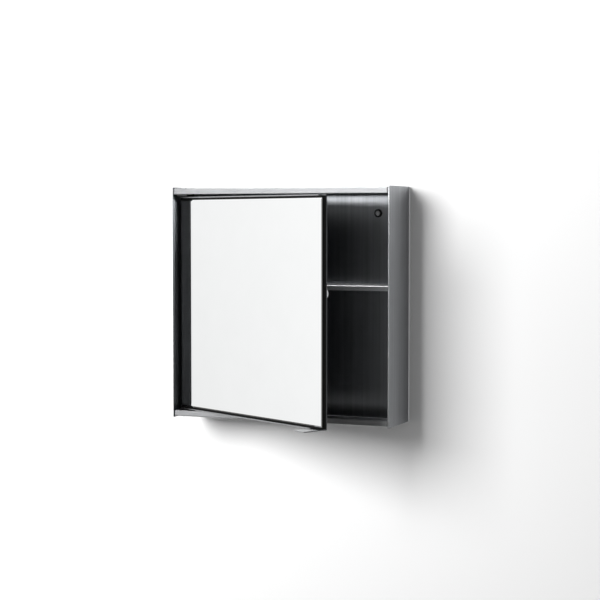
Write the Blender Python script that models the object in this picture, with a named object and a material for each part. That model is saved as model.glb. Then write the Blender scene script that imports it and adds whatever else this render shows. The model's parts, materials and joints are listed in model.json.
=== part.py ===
"""Wall-hung medicine cabinet in folded sheet steel, with one shelf and a mirrored door.

Metres, +Z up. The origin is the middle of the back face, on the wall. +Y goes into the wall, so
the front faces -Y, and +X is to the right of someone who stands in front of it.
"""

import math

import bmesh
import bpy
from mathutils import Matrix, Vector

# ---- Casing: the outside, the sheets and their folds
CASE_WIDTH = 0.400
CASE_HEIGHT = 0.400
CASE_DEPTH = 0.100
SIDE_THICKNESS = 0.0028
SHEET = 0.0015
END_INSET = 0.002           # the top and bottom sheets lie this far inside the sides' ends
LIP_HEIGHT = 0.010          # the upright front edge of the top and bottom sheets
RETURN_WIDTH = 0.0047       # the hinge side's front edge, folded inwards, with its own thickness
RETURN_RELIEF = 0.009       # the folded edge stops this far short of the lips
SHELF_TOP = 0.034           # above the middle of the casing
SHELF_LIP = 0.009
SHELF_SETBACK = 0.030       # from the casing's front to the shelf's

# ---- Door: the gaps round it, its layers and the pull
HINGE_SIDE_GAP = 0.006
FREE_SIDE_GAP = 0.0046
DOOR_TOP_GAP = 0.0048
DOOR_BOTTOM_GAP = 0.0012
DOOR_SETBACK = 0.014        # from the casing's front to the mirror's face, closed
MIRROR_THICKNESS = 0.004
MIRROR_BEVEL_WIDTH = 0.002
MIRROR_BEVEL_DEPTH = 0.0005
CORE_WALL = 0.0044          # the black core behind the mirror
CORE_RIM = 0.003            # its upright rims, above and below the mirror
DOOR_SHEET = 0.0015
FLANGE_NOTCH = 0.009        # the top flange stops this far short of the free corner
PULL_WIDTH = 0.027
PULL_REACH = 0.035          # in front of the mirror
PULL_CORNER = 0.004
REST_ANGLE = math.radians(28)

# ---- Hinge: a pin in a block at each end of the door's hinge edge
PIVOT_INSET = 0.008         # from the door's hinge edge to the pivot
PIN_RADIUS = 0.002
PIN_REACH = 0.002           # into the core
RUNNING_CLEARANCE = 0.00005
BUSH_WALL = 0.00095
BUSH_COLLAR = 0.0045
COLLAR_THICKNESS = 0.0008
BLOCK_WIDTH = 0.020
BLOCK_LENGTH = 0.029
BLOCK_CHAMFER = 0.001
BLOCK_SCREW_OFFSET = 0.0095
BLOCK_SCREW_RADIUS = 0.0015
BLOCK_SCREW_HEAD = 0.003
BLOCK_SCREW_HEAD_HEIGHT = 0.0013
BLOCK_SCREW_LENGTH = 0.006

# ---- Fasteners of the casing and of the wall
RIVET_RADIUS = 0.002
RIVET_HEAD_RADIUS = 0.0034
RIVET_HEAD_HEIGHT = 0.0012
RIVET_FRONT = 0.036         # from the casing's front to the front rivets
RIVET_REAR = 0.010          # from the wall to the rear rivets
WALL_SCREW_FROM_SIDE = 0.055
WALL_SCREW_FROM_TOP = 0.045
WALL_SCREW_RADIUS = 0.0021
WALL_SCREW_HEAD = 0.0041
WALL_SCREW_HEAD_HEIGHT = 0.0026
WALL_WASHER_RADIUS = 0.0071
WALL_WASHER_HEIGHT = 0.0024
SOCKET_RADIUS = 0.0019
SOCKET_DEPTH = 0.0014

# ---- Catch: a pot magnet on the door's back that closes on the shelf's lip
MAGNET_RADIUS = 0.0075
MAGNET_FROM_EDGE = 0.0025
MAGNET_DROP = 0.002         # below the middle of the shelf's lip
POT_WALL = 0.001
CATCH_GAP = 0.0004
MAGNET_SCREW_RADIUS = 0.0015
MAGNET_SCREW_HEAD = 0.0026
MAGNET_SCREW_HEAD_HEIGHT = 0.0012

# ---- Small clearances
GAP = 0.0003                # between pieces that touch
HOLE_CLEARANCE = 0.0003     # round a screw, a rivet or a pin
OVERCUT = 0.004             # a cutter reaches this far past what it cuts

# ---- Places that follow from the sizes above
HALF_WIDTH = CASE_WIDTH / 2
HALF_HEIGHT = CASE_HEIGHT / 2
FRONT = -CASE_DEPTH
INNER_HALF = HALF_WIDTH - SIDE_THICKNESS
TRAY_HALF = INNER_HALF - GAP
SKIN_OUTER = HALF_HEIGHT - END_INSET
SKIN_INNER = SKIN_OUTER - SHEET
LIP_EDGE = SKIN_OUTER - LIP_HEIGHT
TRAY_BACK = -SHEET - GAP
SHELF_FRONT = FRONT + SHELF_SETBACK
SHELF_BOTTOM = SHELF_TOP - SHELF_LIP
DOOR_LEFT = -INNER_HALF + HINGE_SIDE_GAP
DOOR_RIGHT = INNER_HALF - FREE_SIDE_GAP
DOOR_TOP = LIP_EDGE - DOOR_TOP_GAP
DOOR_BOTTOM = -LIP_EDGE + DOOR_BOTTOM_GAP
MIRROR_FACE = FRONT + DOOR_SETBACK
CORE_FACE = MIRROR_FACE + MIRROR_THICKNESS + GAP
CORE_BACK = CORE_FACE + CORE_WALL
PLATE_FACE = CORE_BACK + GAP
PLATE_BACK = PLATE_FACE + DOOR_SHEET
PIVOT_X = DOOR_LEFT + PIVOT_INSET
PIVOT_Y = (MIRROR_FACE + PLATE_BACK) / 2
BLOCK_TO_DOOR = GAP + COLLAR_THICKNESS + GAP
PIN_HOLE = PIN_RADIUS + HOLE_CLEARANCE


def clear_scene():
    for thing in list(bpy.data.objects):
        bpy.data.objects.remove(thing, do_unlink=True)


def make_material(name, colour, roughness, metallic):
    material = bpy.data.materials.new(name)
    material.use_nodes = True
    shader = material.node_tree.nodes["Principled BSDF"]
    shader.inputs["Base Color"].default_value = (*colour, 1.0)
    shader.inputs["Roughness"].default_value = roughness
    shader.inputs["Metallic"].default_value = metallic
    return material


def add_object(name, shape, material, parent=None):
    """Makes an object of a bmesh whose points are in its parent's frame, with its origin in its middle."""
    bmesh.ops.recalc_face_normals(shape, faces=shape.faces)
    points = [vertex.co for vertex in shape.verts]
    low = Vector(min(point[axis] for point in points) for axis in range(3))
    high = Vector(max(point[axis] for point in points) for axis in range(3))
    middle = (low + high) / 2
    bmesh.ops.translate(shape, verts=shape.verts, vec=-middle)
    mesh = bpy.data.meshes.new(name)
    shape.to_mesh(mesh)
    shape.free()
    mesh.shade_smooth()
    mesh.set_sharp_from_angle(angle=math.radians(35))
    mesh.materials.append(material)
    thing = bpy.data.objects.new(name, mesh)
    thing.location = middle
    thing.parent = parent
    bpy.context.collection.objects.link(thing)
    return thing


def box_shape(low, high):
    low, high = Vector(low), Vector(high)
    shape = bmesh.new()
    bmesh.ops.create_cube(shape, size=1.0)
    bmesh.ops.scale(shape, verts=shape.verts, vec=high - low)
    bmesh.ops.translate(shape, verts=shape.verts, vec=(low + high) / 2)
    return shape


def extruded_shape(outline, along, start, stop):
    """A closed outline in the two axes other than along, in X, Y, Z order, pulled from start to stop."""
    others = [axis for axis in range(3) if axis != along]
    shape = bmesh.new()
    corners = []
    for first, second in outline:
        point = Vector((0, 0, 0))
        point[along] = start
        point[others[0]] = first
        point[others[1]] = second
        corners.append(shape.verts.new(point))
    face = shape.faces.new(corners)
    pulled = bmesh.ops.extrude_face_region(shape, geom=[face])["geom"]
    move = Vector((0, 0, 0))
    move[along] = stop - start
    raised = [item for item in pulled if isinstance(item, bmesh.types.BMVert)]
    bmesh.ops.translate(shape, verts=raised, vec=move)
    return shape


def turned_shape(profile, foot, direction, segments=24):
    """Turns (radius, height) points round a line that starts at foot; points at radius 0 share one vertex."""
    shape = bmesh.new()
    rings = []
    for radius, height in profile:
        if radius == 0:
            rings.append([shape.verts.new((0, 0, height))])
            continue
        ring = []
        for step in range(segments):
            angle = 2 * math.pi * step / segments
            ring.append(shape.verts.new((radius * math.cos(angle), radius * math.sin(angle), height)))
        rings.append(ring)
    for lower, upper in zip(rings, rings[1:] + rings[:1]):
        if len(lower) == 1 and len(upper) == 1:
            continue
        for step in range(segments):
            after = (step + 1) % segments
            if len(lower) == 1:
                shape.faces.new((lower[0], upper[step], upper[after]))
            elif len(upper) == 1:
                shape.faces.new((lower[after], lower[step], upper[0]))
            else:
                shape.faces.new((lower[step], lower[after], upper[after], upper[step]))
    turn = Vector((0, 0, 1)).rotation_difference(Vector(direction)).to_matrix().to_4x4()
    bmesh.ops.transform(shape, matrix=Matrix.Translation(foot) @ turn, verts=shape.verts)
    return shape


def round_hole_shape(points, direction, radius, length, segments=24):
    """One cylinder at each point, with its middle there, as a cutter for a row of holes."""
    turn = Vector((0, 0, 1)).rotation_difference(Vector(direction)).to_matrix().to_4x4()
    shape = bmesh.new()
    for point in points:
        bmesh.ops.create_cone(
            shape, cap_ends=True, segments=segments, radius1=radius, radius2=radius, depth=length,
            matrix=Matrix.Translation(point) @ turn)
    return shape


def join_or_cut(thing, shape, name, operation, parent=None):
    tool = add_object(name, shape, thing.data.materials[0], parent)
    tool.hide_render = True
    tool.display_type = "WIRE"
    modifier = thing.modifiers.new(name, "BOOLEAN")
    modifier.operation = operation
    modifier.object = tool


def cut(thing, shape, name, parent=None):
    join_or_cut(thing, shape, name, "DIFFERENCE", parent)


def rivet_places(level):
    return [(FRONT + RIVET_FRONT, level), (-RIVET_REAR, level)]


def side_levels():
    """The heights of the rivet rows: through the end flanges of the top sheet, the shelf and the bottom sheet."""
    flange_middle = (SKIN_INNER + LIP_EDGE) / 2
    shelf_middle = (SHELF_TOP - SHEET + SHELF_BOTTOM) / 2
    return {"top": flange_middle, "shelf": shelf_middle, "bottom": -flange_middle}


def make_back_panel(steel):
    edge = SKIN_INNER - GAP
    panel = add_object("back_panel", box_shape((-TRAY_HALF, -SHEET, -edge), (TRAY_HALF, 0, edge)), steel)
    places = [(side * wall_screw_x(), -SHEET / 2, wall_screw_z()) for side in (-1, 1)]
    holes = round_hole_shape(places, (0, 1, 0), WALL_SCREW_RADIUS + HOLE_CLEARANCE, SHEET + OVERCUT)
    cut(panel, holes, "wall_screw_holes")


def side_rivet_holes(side):
    places = []
    for level in side_levels().values():
        for y, z in rivet_places(level):
            places.append((side * (HALF_WIDTH - SIDE_THICKNESS / 2), y, z))
    return round_hole_shape(places, (1, 0, 0), RIVET_RADIUS + HOLE_CLEARANCE, SIDE_THICKNESS + OVERCUT)


def make_right_side(steel):
    shape = box_shape((INNER_HALF, FRONT, -HALF_HEIGHT), (HALF_WIDTH, 0, HALF_HEIGHT))
    panel = add_object("right_side", shape, steel)
    cut(panel, side_rivet_holes(1), "right_rivet_holes")


def make_left_side(steel):
    """The hinge side: a plate whose front edge is folded inwards between two reliefs."""
    shape = box_shape((-HALF_WIDTH, FRONT, -HALF_HEIGHT), (-INNER_HALF, 0, HALF_HEIGHT))
    fold_end = LIP_EDGE - RETURN_RELIEF
    for place, normal in (
        ((0, 0, fold_end), (0, 0, 1)),
        ((0, 0, -fold_end), (0, 0, 1)),
        ((0, FRONT + SHEET, 0), (0, 1, 0)),
    ):
        everything = shape.verts[:] + shape.edges[:] + shape.faces[:]
        bmesh.ops.bisect_plane(shape, geom=everything, plane_co=place, plane_no=normal)
    strip = []
    for face in shape.faces:
        middle = face.calc_center_median()
        on_inside = abs(middle.x + INNER_HALF) < 1e-6
        if on_inside and middle.y < FRONT + SHEET and abs(middle.z) < fold_end:
            strip.append(face)
    pulled = bmesh.ops.extrude_face_region(shape, geom=strip)["geom"]
    bmesh.ops.delete(shape, geom=strip, context="FACES_ONLY")
    raised = [item for item in pulled if isinstance(item, bmesh.types.BMVert)]
    bmesh.ops.translate(shape, verts=raised, vec=(RETURN_WIDTH - SIDE_THICKNESS, 0, 0))
    panel = add_object("left_side", shape, steel)
    cut(panel, side_rivet_holes(-1), "left_rivet_holes")


def make_tray(name, steel, front, skin_outer, lip_edge, rivet_level):
    """A sheet with its front edge and both ends folded the same way, from skin_outer to lip_edge."""
    folded_down = skin_outer > lip_edge
    low, high = min(skin_outer, lip_edge), max(skin_outer, lip_edge)
    shape = box_shape((-TRAY_HALF, front, low), (TRAY_HALF, TRAY_BACK, high))
    tray = add_object(name, shape, steel)
    inner_half = TRAY_HALF - SHEET
    if folded_down:
        hollow_low, hollow_high = low - OVERCUT, high - SHEET
    else:
        hollow_low, hollow_high = low + SHEET, high + OVERCUT
    hollow = box_shape(
        (-inner_half, front + SHEET, hollow_low), (inner_half, TRAY_BACK + OVERCUT, hollow_high))
    cut(tray, hollow, name + "_hollow")
    places = []
    for side in (-1, 1):
        for y, z in rivet_places(rivet_level):
            places.append((side * (TRAY_HALF - SHEET / 2), y, z))
    holes = round_hole_shape(places, (1, 0, 0), RIVET_RADIUS + HOLE_CLEARANCE, SHEET + OVERCUT)
    cut(tray, holes, name + "_rivet_holes")
    return tray


def make_trays(steel):
    levels = side_levels()
    top = make_tray("top_panel", steel, FRONT, SKIN_OUTER, LIP_EDGE, levels["top"])
    bottom = make_tray("bottom_panel", steel, FRONT, -SKIN_OUTER, -LIP_EDGE, levels["bottom"])
    make_tray("shelf", steel, SHELF_FRONT, SHELF_TOP, SHELF_BOTTOM, levels["shelf"])
    for tray, sign in ((top, 1), (bottom, -1)):
        places = [(x, y, sign * (SKIN_OUTER + SKIN_INNER) / 2) for x, y in block_screw_places()]
        holes = round_hole_shape(
            places, (0, 0, 1), BLOCK_SCREW_RADIUS + HOLE_CLEARANCE, SHEET + OVERCUT)
        cut(tray, holes, tray.name + "_block_screw_holes")


def make_rivets(steel):
    """A rivet goes through a side and a tray's end flange; its outer end is ground flush."""
    grip = SIDE_THICKNESS + GAP + SHEET
    head_end = grip + GAP + RIVET_HEAD_HEIGHT
    chamfer = RIVET_HEAD_HEIGHT / 3
    profile = [
        (0, 0),
        (RIVET_RADIUS, 0),
        (RIVET_RADIUS, grip + GAP),
        (RIVET_HEAD_RADIUS, grip + GAP),
        (RIVET_HEAD_RADIUS, head_end - chamfer),
        (RIVET_HEAD_RADIUS - chamfer, head_end),
        (0, head_end),
    ]
    for side, side_name in ((-1, "left"), (1, "right")):
        for level_name, level in side_levels().items():
            for (y, z), place in zip(rivet_places(level), ("front", "rear")):
                shape = turned_shape(profile, (side * HALF_WIDTH, y, z), (-side, 0, 0), segments=16)
                add_object(f"rivet_{side_name}_{level_name}_{place}", shape, steel)


def wall_screw_x():
    return HALF_WIDTH - WALL_SCREW_FROM_SIDE


def wall_screw_z():
    return HALF_HEIGHT - WALL_SCREW_FROM_TOP


def make_wall_fixings(steel, rubber):
    """A round-headed screw with a hex socket, on a black rubber ring, goes through the back panel."""
    ring_foot = -SHEET - GAP
    head_foot = ring_foot - WALL_WASHER_HEIGHT - GAP
    head_top = head_foot - WALL_SCREW_HEAD_HEIGHT
    round_over = WALL_WASHER_HEIGHT / 3
    hole = WALL_SCREW_RADIUS + HOLE_CLEARANCE
    ring = [
        (hole, 0),
        (WALL_WASHER_RADIUS, 0),
        (WALL_WASHER_RADIUS, WALL_WASHER_HEIGHT - round_over),
        (WALL_WASHER_RADIUS - round_over, WALL_WASHER_HEIGHT),
        (hole, WALL_WASHER_HEIGHT),
    ]
    screw = [
        (0, 0),
        (WALL_SCREW_RADIUS, 0),
        (WALL_SCREW_RADIUS, -head_foot - GAP),
        (WALL_SCREW_HEAD, -head_foot - GAP),
        (WALL_SCREW_HEAD, -head_foot - GAP + WALL_SCREW_HEAD_HEIGHT * 0.4),
        (WALL_SCREW_HEAD * 0.87, -head_foot - GAP + WALL_SCREW_HEAD_HEIGHT * 0.8),
        (WALL_SCREW_HEAD * 0.62, -head_top - GAP),
        (0, -head_top - GAP),
    ]
    for side, side_name in ((-1, "left"), (1, "right")):
        x, z = side * wall_screw_x(), wall_screw_z()
        add_object(f"wall_washer_{side_name}", turned_shape(ring, (x, ring_foot, z), (0, -1, 0), 32), rubber)
        fixing = add_object(f"wall_screw_{side_name}", turned_shape(screw, (x, -GAP, z), (0, -1, 0), 32), steel)
        socket = round_hole_shape([(x, head_top, z)], (0, 1, 0), SOCKET_RADIUS, 2 * SOCKET_DEPTH, segments=6)
        cut(fixing, socket, f"wall_screw_socket_{side_name}")


def block_screw_places():
    return [(PIVOT_X, PIVOT_Y - BLOCK_SCREW_OFFSET), (PIVOT_X, PIVOT_Y + BLOCK_SCREW_OFFSET)]


def make_hinge_end(name, plastic, steel, sign, door_edge):
    """A block under a tray's skin holds the pin that the door turns on. sign is 1 above, -1 below."""
    near = door_edge + sign * BLOCK_TO_DOOR
    far = sign * (SKIN_INNER - GAP)
    low = (PIVOT_X - BLOCK_WIDTH / 2, PIVOT_Y - BLOCK_LENGTH / 2, min(near, far))
    high = (PIVOT_X + BLOCK_WIDTH / 2, PIVOT_Y + BLOCK_LENGTH / 2, max(near, far))
    shape = box_shape(low, high)
    upright = [edge for edge in shape.edges if abs(edge.verts[0].co.z - edge.verts[1].co.z) > GAP]
    bmesh.ops.bevel(shape, geom=upright, offset=BLOCK_CHAMFER, segments=1, affect="EDGES")
    block = add_object(f"hinge_block_{name}", shape, plastic)
    middle = (near + far) / 2
    hole_length = abs(far - near) + OVERCUT
    pin_hole = round_hole_shape([(PIVOT_X, PIVOT_Y, middle)], (0, 0, 1), PIN_HOLE, hole_length)
    cut(block, pin_hole, f"hinge_block_{name}_pin_hole")
    seats = [(x, y, middle) for x, y in block_screw_places()]
    screw_holes = round_hole_shape(
        seats, (0, 0, 1), BLOCK_SCREW_RADIUS + HOLE_CLEARANCE, hole_length)
    cut(block, screw_holes, f"hinge_block_{name}_screw_holes")

    core_edge = door_edge - sign * (DOOR_SHEET + GAP)
    pin_end = core_edge - sign * PIN_REACH
    pin_length = abs(far - pin_end) - GAP
    tip = PIN_RADIUS / 4
    pin = [
        (0, 0),
        (PIN_RADIUS - tip, 0),
        (PIN_RADIUS, tip),
        (PIN_RADIUS, pin_length),
        (0, pin_length),
    ]
    add_object(f"hinge_pin_{name}", turned_shape(pin, (PIVOT_X, PIVOT_Y, pin_end), (0, 0, sign), 32), steel)

    screw = [
        (0, 0),
        (BLOCK_SCREW_RADIUS, 0),
        (BLOCK_SCREW_RADIUS, BLOCK_SCREW_LENGTH),
        (BLOCK_SCREW_HEAD, BLOCK_SCREW_LENGTH),
        (BLOCK_SCREW_HEAD, BLOCK_SCREW_LENGTH + BLOCK_SCREW_HEAD_HEIGHT / 2),
        (BLOCK_SCREW_HEAD * 0.7, BLOCK_SCREW_LENGTH + BLOCK_SCREW_HEAD_HEIGHT),
        (0, BLOCK_SCREW_LENGTH + BLOCK_SCREW_HEAD_HEIGHT),
    ]
    foot = sign * (SKIN_OUTER + GAP - BLOCK_SCREW_LENGTH)
    for (x, y), place in zip(block_screw_places(), ("front", "rear")):
        shape = turned_shape(screw, (x, y, foot), (0, 0, sign), 16)
        add_object(f"block_screw_{name}_{place}", shape, steel)


def make_bush(name, nylon, hinge_line, sign, door_edge):
    """A collared sleeve in the door's flange; the pin runs in it and the collar carries the door."""
    inner = PIN_RADIUS + RUNNING_CLEARANCE
    outer = inner + BUSH_WALL
    collar_start = DOOR_SHEET + GAP
    profile = [
        (inner, 0),
        (outer, 0),
        (outer, collar_start),
        (BUSH_COLLAR, collar_start),
        (BUSH_COLLAR, collar_start + COLLAR_THICKNESS),
        (inner, collar_start + COLLAR_THICKNESS),
    ]
    foot = (0, 0, door_edge - sign * DOOR_SHEET)
    add_object(f"hinge_bush_{name}", turned_shape(profile, foot, (0, 0, sign), 32), nylon, hinge_line)


def rounded_pull_outline(left, right, back, front):
    """The pull seen from above: square at the door, with two rounded outer corners."""
    outline = [(left, back), (right, back)]
    steps = 5
    for corner_x, start in ((right - PULL_CORNER, 0), (left + PULL_CORNER, -90)):
        for step in range(steps + 1):
            angle = math.radians(start - 90 * step / steps)
            x = corner_x + PULL_CORNER * math.cos(angle)
            y = front + PULL_CORNER + PULL_CORNER * math.sin(angle)
            outline.append((x, y))
    return outline


def make_door_plate(steel, hinge_line):
    """The door's steel back, folded forward along its top and bottom, with the pull on the bottom fold."""
    left, right = DOOR_LEFT - PIVOT_X, DOOR_RIGHT - PIVOT_X
    front, face, back = MIRROR_FACE - PIVOT_Y, PLATE_FACE - PIVOT_Y, PLATE_BACK - PIVOT_Y
    channel = [
        (front, DOOR_BOTTOM),
        (back, DOOR_BOTTOM),
        (back, DOOR_TOP),
        (front, DOOR_TOP),
        (front, DOOR_TOP - DOOR_SHEET),
        (face, DOOR_TOP - DOOR_SHEET),
        (face, DOOR_BOTTOM + DOOR_SHEET),
        (front, DOOR_BOTTOM + DOOR_SHEET),
    ]
    plate = add_object("door_back_plate", extruded_shape(channel, 0, left, right), steel, hinge_line)
    notch = box_shape(
        (right - FLANGE_NOTCH, front - OVERCUT, DOOR_TOP - DOOR_SHEET - GAP),
        (right + OVERCUT, face, DOOR_TOP + OVERCUT))
    cut(plate, notch, "flange_notch", hinge_line)
    root = front + OVERCUT / 2
    outline = rounded_pull_outline(right - PULL_WIDTH, right, root, front - PULL_REACH)
    pull = extruded_shape(outline, 2, DOOR_BOTTOM, DOOR_BOTTOM + DOOR_SHEET)
    join_or_cut(plate, pull, "pull", "UNION", hinge_line)
    seats = [(0, 0, DOOR_TOP - DOOR_SHEET / 2), (0, 0, DOOR_BOTTOM + DOOR_SHEET / 2)]
    bush_hole = PIN_RADIUS + RUNNING_CLEARANCE + BUSH_WALL + HOLE_CLEARANCE
    cut(plate, round_hole_shape(seats, (0, 0, 1), bush_hole, DOOR_SHEET + OVERCUT / 2, 32),
        "bush_holes", hinge_line)
    x, z = magnet_place()
    screw_hole = round_hole_shape(
        [(x, (face + back) / 2, z)], (0, 1, 0), MAGNET_SCREW_RADIUS + HOLE_CLEARANCE, DOOR_SHEET + GAP)
    cut(plate, screw_hole, "magnet_screw_hole", hinge_line)


def core_edges():
    return DOOR_BOTTOM + DOOR_SHEET + GAP, DOOR_TOP - DOOR_SHEET - GAP


def make_door_core(plastic, hinge_line):
    """The black board behind the mirror, with a rim above and below it."""
    left, right = DOOR_LEFT - PIVOT_X, DOOR_RIGHT - PIVOT_X
    front, face, back = MIRROR_FACE + GAP - PIVOT_Y, CORE_FACE - PIVOT_Y, CORE_BACK - PIVOT_Y
    bottom, top = core_edges()
    channel = [
        (front, bottom),
        (back, bottom),
        (back, top),
        (front, top),
        (front, top - CORE_RIM),
        (face, top - CORE_RIM),
        (face, bottom + CORE_RIM),
        (front, bottom + CORE_RIM),
    ]
    core = add_object("door_core", extruded_shape(channel, 0, left, right), plastic, hinge_line)
    seats = [(0, 0, top), (0, 0, bottom)]
    pin_seats = round_hole_shape(seats, (0, 0, 1), PIN_HOLE, 2 * (PIN_REACH + HOLE_CLEARANCE))
    cut(core, pin_seats, "pin_seats", hinge_line)
    x, z = magnet_place()
    screw_seat = round_hole_shape(
        [(x, back, z)], (0, 1, 0), MAGNET_SCREW_RADIUS + HOLE_CLEARANCE, 2 * (CORE_WALL - 2 * GAP))
    cut(core, screw_seat, "magnet_screw_seat", hinge_line)


def make_mirror(silvered_glass, hinge_line):
    """The mirror glass, as wide as the door, with a shallow bevel round its face."""
    left, right = DOOR_LEFT - PIVOT_X, DOOR_RIGHT - PIVOT_X
    front = MIRROR_FACE - PIVOT_Y
    bottom, top = core_edges()
    low = (left, front + MIRROR_BEVEL_DEPTH, bottom + CORE_RIM + GAP)
    high = (right, front + MIRROR_THICKNESS, top - CORE_RIM - GAP)
    shape = box_shape(low, high)
    faces = [face for face in shape.faces if face.normal.y < -0.5]
    bmesh.ops.inset_region(
        shape, faces=faces, thickness=MIRROR_BEVEL_WIDTH, depth=MIRROR_BEVEL_DEPTH)
    add_object("mirror_glass", shape, silvered_glass, hinge_line)


def magnet_place():
    """The magnet's middle on the door, from the hinge line: near the free edge, at the shelf's lip."""
    x = DOOR_RIGHT - MAGNET_FROM_EDGE - MAGNET_RADIUS - PIVOT_X
    z = (SHELF_TOP + SHELF_BOTTOM) / 2 - MAGNET_DROP
    return x, z


def make_magnet_catch(steel, ferrite, hinge_line):
    """A steel pot with a ring magnet, held to the door's back by one screw through its middle."""
    x, z = magnet_place()
    foot = (x, PLATE_BACK + GAP - PIVOT_Y, z)
    height = SHELF_FRONT - CATCH_GAP - PLATE_BACK - GAP
    hole = MAGNET_SCREW_RADIUS + HOLE_CLEARANCE
    bore = MAGNET_RADIUS - POT_WALL
    pot = [
        (hole, 0),
        (MAGNET_RADIUS, 0),
        (MAGNET_RADIUS, height),
        (bore, height),
        (bore, POT_WALL),
        (hole, POT_WALL),
    ]
    add_object("magnet_pot", turned_shape(pot, foot, (0, 1, 0), 32), steel, hinge_line)

    ring_foot = (x, foot[1] + POT_WALL + GAP, z)
    ring_height = height - POT_WALL - 2 * GAP
    ring_hole = MAGNET_SCREW_HEAD + HOLE_CLEARANCE
    ring = [
        (ring_hole, 0),
        (bore - GAP, 0),
        (bore - GAP, ring_height),
        (ring_hole, ring_height),
    ]
    add_object("magnet_ring", turned_shape(ring, ring_foot, (0, 1, 0), 32), ferrite, hinge_line)

    head_foot = foot[1] + POT_WALL + GAP
    screw_tip = CORE_BACK - PIVOT_Y - (CORE_WALL - 3 * GAP)
    reach = head_foot - screw_tip
    screw = [
        (0, 0),
        (MAGNET_SCREW_RADIUS, 0),
        (MAGNET_SCREW_RADIUS, reach),
        (MAGNET_SCREW_HEAD, reach),
        (MAGNET_SCREW_HEAD, reach + MAGNET_SCREW_HEAD_HEIGHT / 2),
        (MAGNET_SCREW_HEAD * 0.7, reach + MAGNET_SCREW_HEAD_HEIGHT),
        (0, reach + MAGNET_SCREW_HEAD_HEIGHT),
    ]
    add_object("magnet_screw", turned_shape(screw, (x, screw_tip, z), (0, 1, 0), 16), steel, hinge_line)


def make_hinge_line():
    """An empty on the pivot; the door's pieces hang on it, drawn as closed and turned open here."""
    hinge_line = bpy.data.objects.new("door_hinge_line", None)
    hinge_line.location = (PIVOT_X, PIVOT_Y, 0)
    hinge_line.rotation_euler = (0, 0, -REST_ANGLE)
    bpy.context.collection.objects.link(hinge_line)
    return hinge_line


def main():
    clear_scene()
    brushed_steel = make_material("brushed_steel", (0.42, 0.43, 0.44), 0.34, 1.0)
    plain_steel = make_material("plain_steel", (0.55, 0.55, 0.56), 0.28, 1.0)
    black_plastic = make_material("black_plastic", (0.012, 0.012, 0.013), 0.5, 0.0)
    black_rubber = make_material("black_rubber", (0.010, 0.010, 0.011), 0.7, 0.0)
    nylon = make_material("nylon", (0.02, 0.02, 0.022), 0.45, 0.0)
    ferrite = make_material("ferrite", (0.06, 0.06, 0.065), 0.55, 0.2)
    silvered_glass = make_material("silvered_glass", (0.92, 0.93, 0.93), 0.02, 1.0)

    make_back_panel(brushed_steel)
    make_left_side(brushed_steel)
    make_right_side(brushed_steel)
    make_trays(brushed_steel)
    make_rivets(brushed_steel)
    make_wall_fixings(plain_steel, black_rubber)
    make_hinge_end("upper", black_plastic, plain_steel, 1, DOOR_TOP)
    make_hinge_end("lower", black_plastic, plain_steel, -1, DOOR_BOTTOM)

    hinge_line = make_hinge_line()
    make_door_plate(brushed_steel, hinge_line)
    make_door_core(black_plastic, hinge_line)
    make_mirror(silvered_glass, hinge_line)
    make_bush("upper", nylon, hinge_line, 1, DOOR_TOP)
    make_bush("lower", nylon, hinge_line, -1, DOOR_BOTTOM)
    make_magnet_catch(plain_steel, ferrite, hinge_line)


main()
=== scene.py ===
"""A square wall cabinet in brushed steel with a mirrored door, hung on a white wall."""

import json
import math

import bpy
from mathutils import Matrix, Vector


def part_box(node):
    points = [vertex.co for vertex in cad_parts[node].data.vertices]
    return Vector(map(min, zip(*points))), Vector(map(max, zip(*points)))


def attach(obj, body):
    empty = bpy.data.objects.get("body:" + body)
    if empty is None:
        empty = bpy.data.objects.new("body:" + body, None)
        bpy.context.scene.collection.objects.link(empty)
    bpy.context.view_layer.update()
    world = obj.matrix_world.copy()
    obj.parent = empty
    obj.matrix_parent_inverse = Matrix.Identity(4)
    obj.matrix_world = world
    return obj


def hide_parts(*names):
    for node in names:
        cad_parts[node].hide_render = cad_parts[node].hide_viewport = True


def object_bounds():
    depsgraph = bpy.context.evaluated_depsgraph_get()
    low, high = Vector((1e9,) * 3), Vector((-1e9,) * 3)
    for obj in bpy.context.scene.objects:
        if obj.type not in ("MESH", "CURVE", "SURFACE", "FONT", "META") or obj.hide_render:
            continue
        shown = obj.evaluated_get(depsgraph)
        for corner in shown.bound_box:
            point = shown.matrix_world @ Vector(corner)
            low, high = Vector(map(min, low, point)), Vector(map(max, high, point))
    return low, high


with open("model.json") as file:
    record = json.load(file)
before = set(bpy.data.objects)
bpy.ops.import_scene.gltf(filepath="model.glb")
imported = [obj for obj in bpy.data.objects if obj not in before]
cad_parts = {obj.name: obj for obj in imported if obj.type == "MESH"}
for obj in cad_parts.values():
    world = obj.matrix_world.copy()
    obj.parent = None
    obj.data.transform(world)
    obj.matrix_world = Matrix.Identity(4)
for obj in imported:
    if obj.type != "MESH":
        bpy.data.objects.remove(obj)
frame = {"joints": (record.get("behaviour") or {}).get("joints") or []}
cad_low, cad_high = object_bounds()

# ---- Camera
# It stands two and a half metres off, to the right of the cabinet and a little above its middle,
# with a long lens, and looks slightly down.
camera_data = bpy.data.cameras.new("camera")
camera_data.lens = 94.14
camera_data.sensor_width = 36
camera_data.clip_start = 0.1
camera_data.clip_end = 100
camera = bpy.data.objects.new("camera", camera_data)
camera.location = (1.062, -2.529, 0.1416)
camera.rotation_euler = (math.radians(90 - 2.88), 0, math.radians(22.8))
bpy.context.scene.collection.objects.link(camera)
bpy.context.scene.camera = camera

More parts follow.
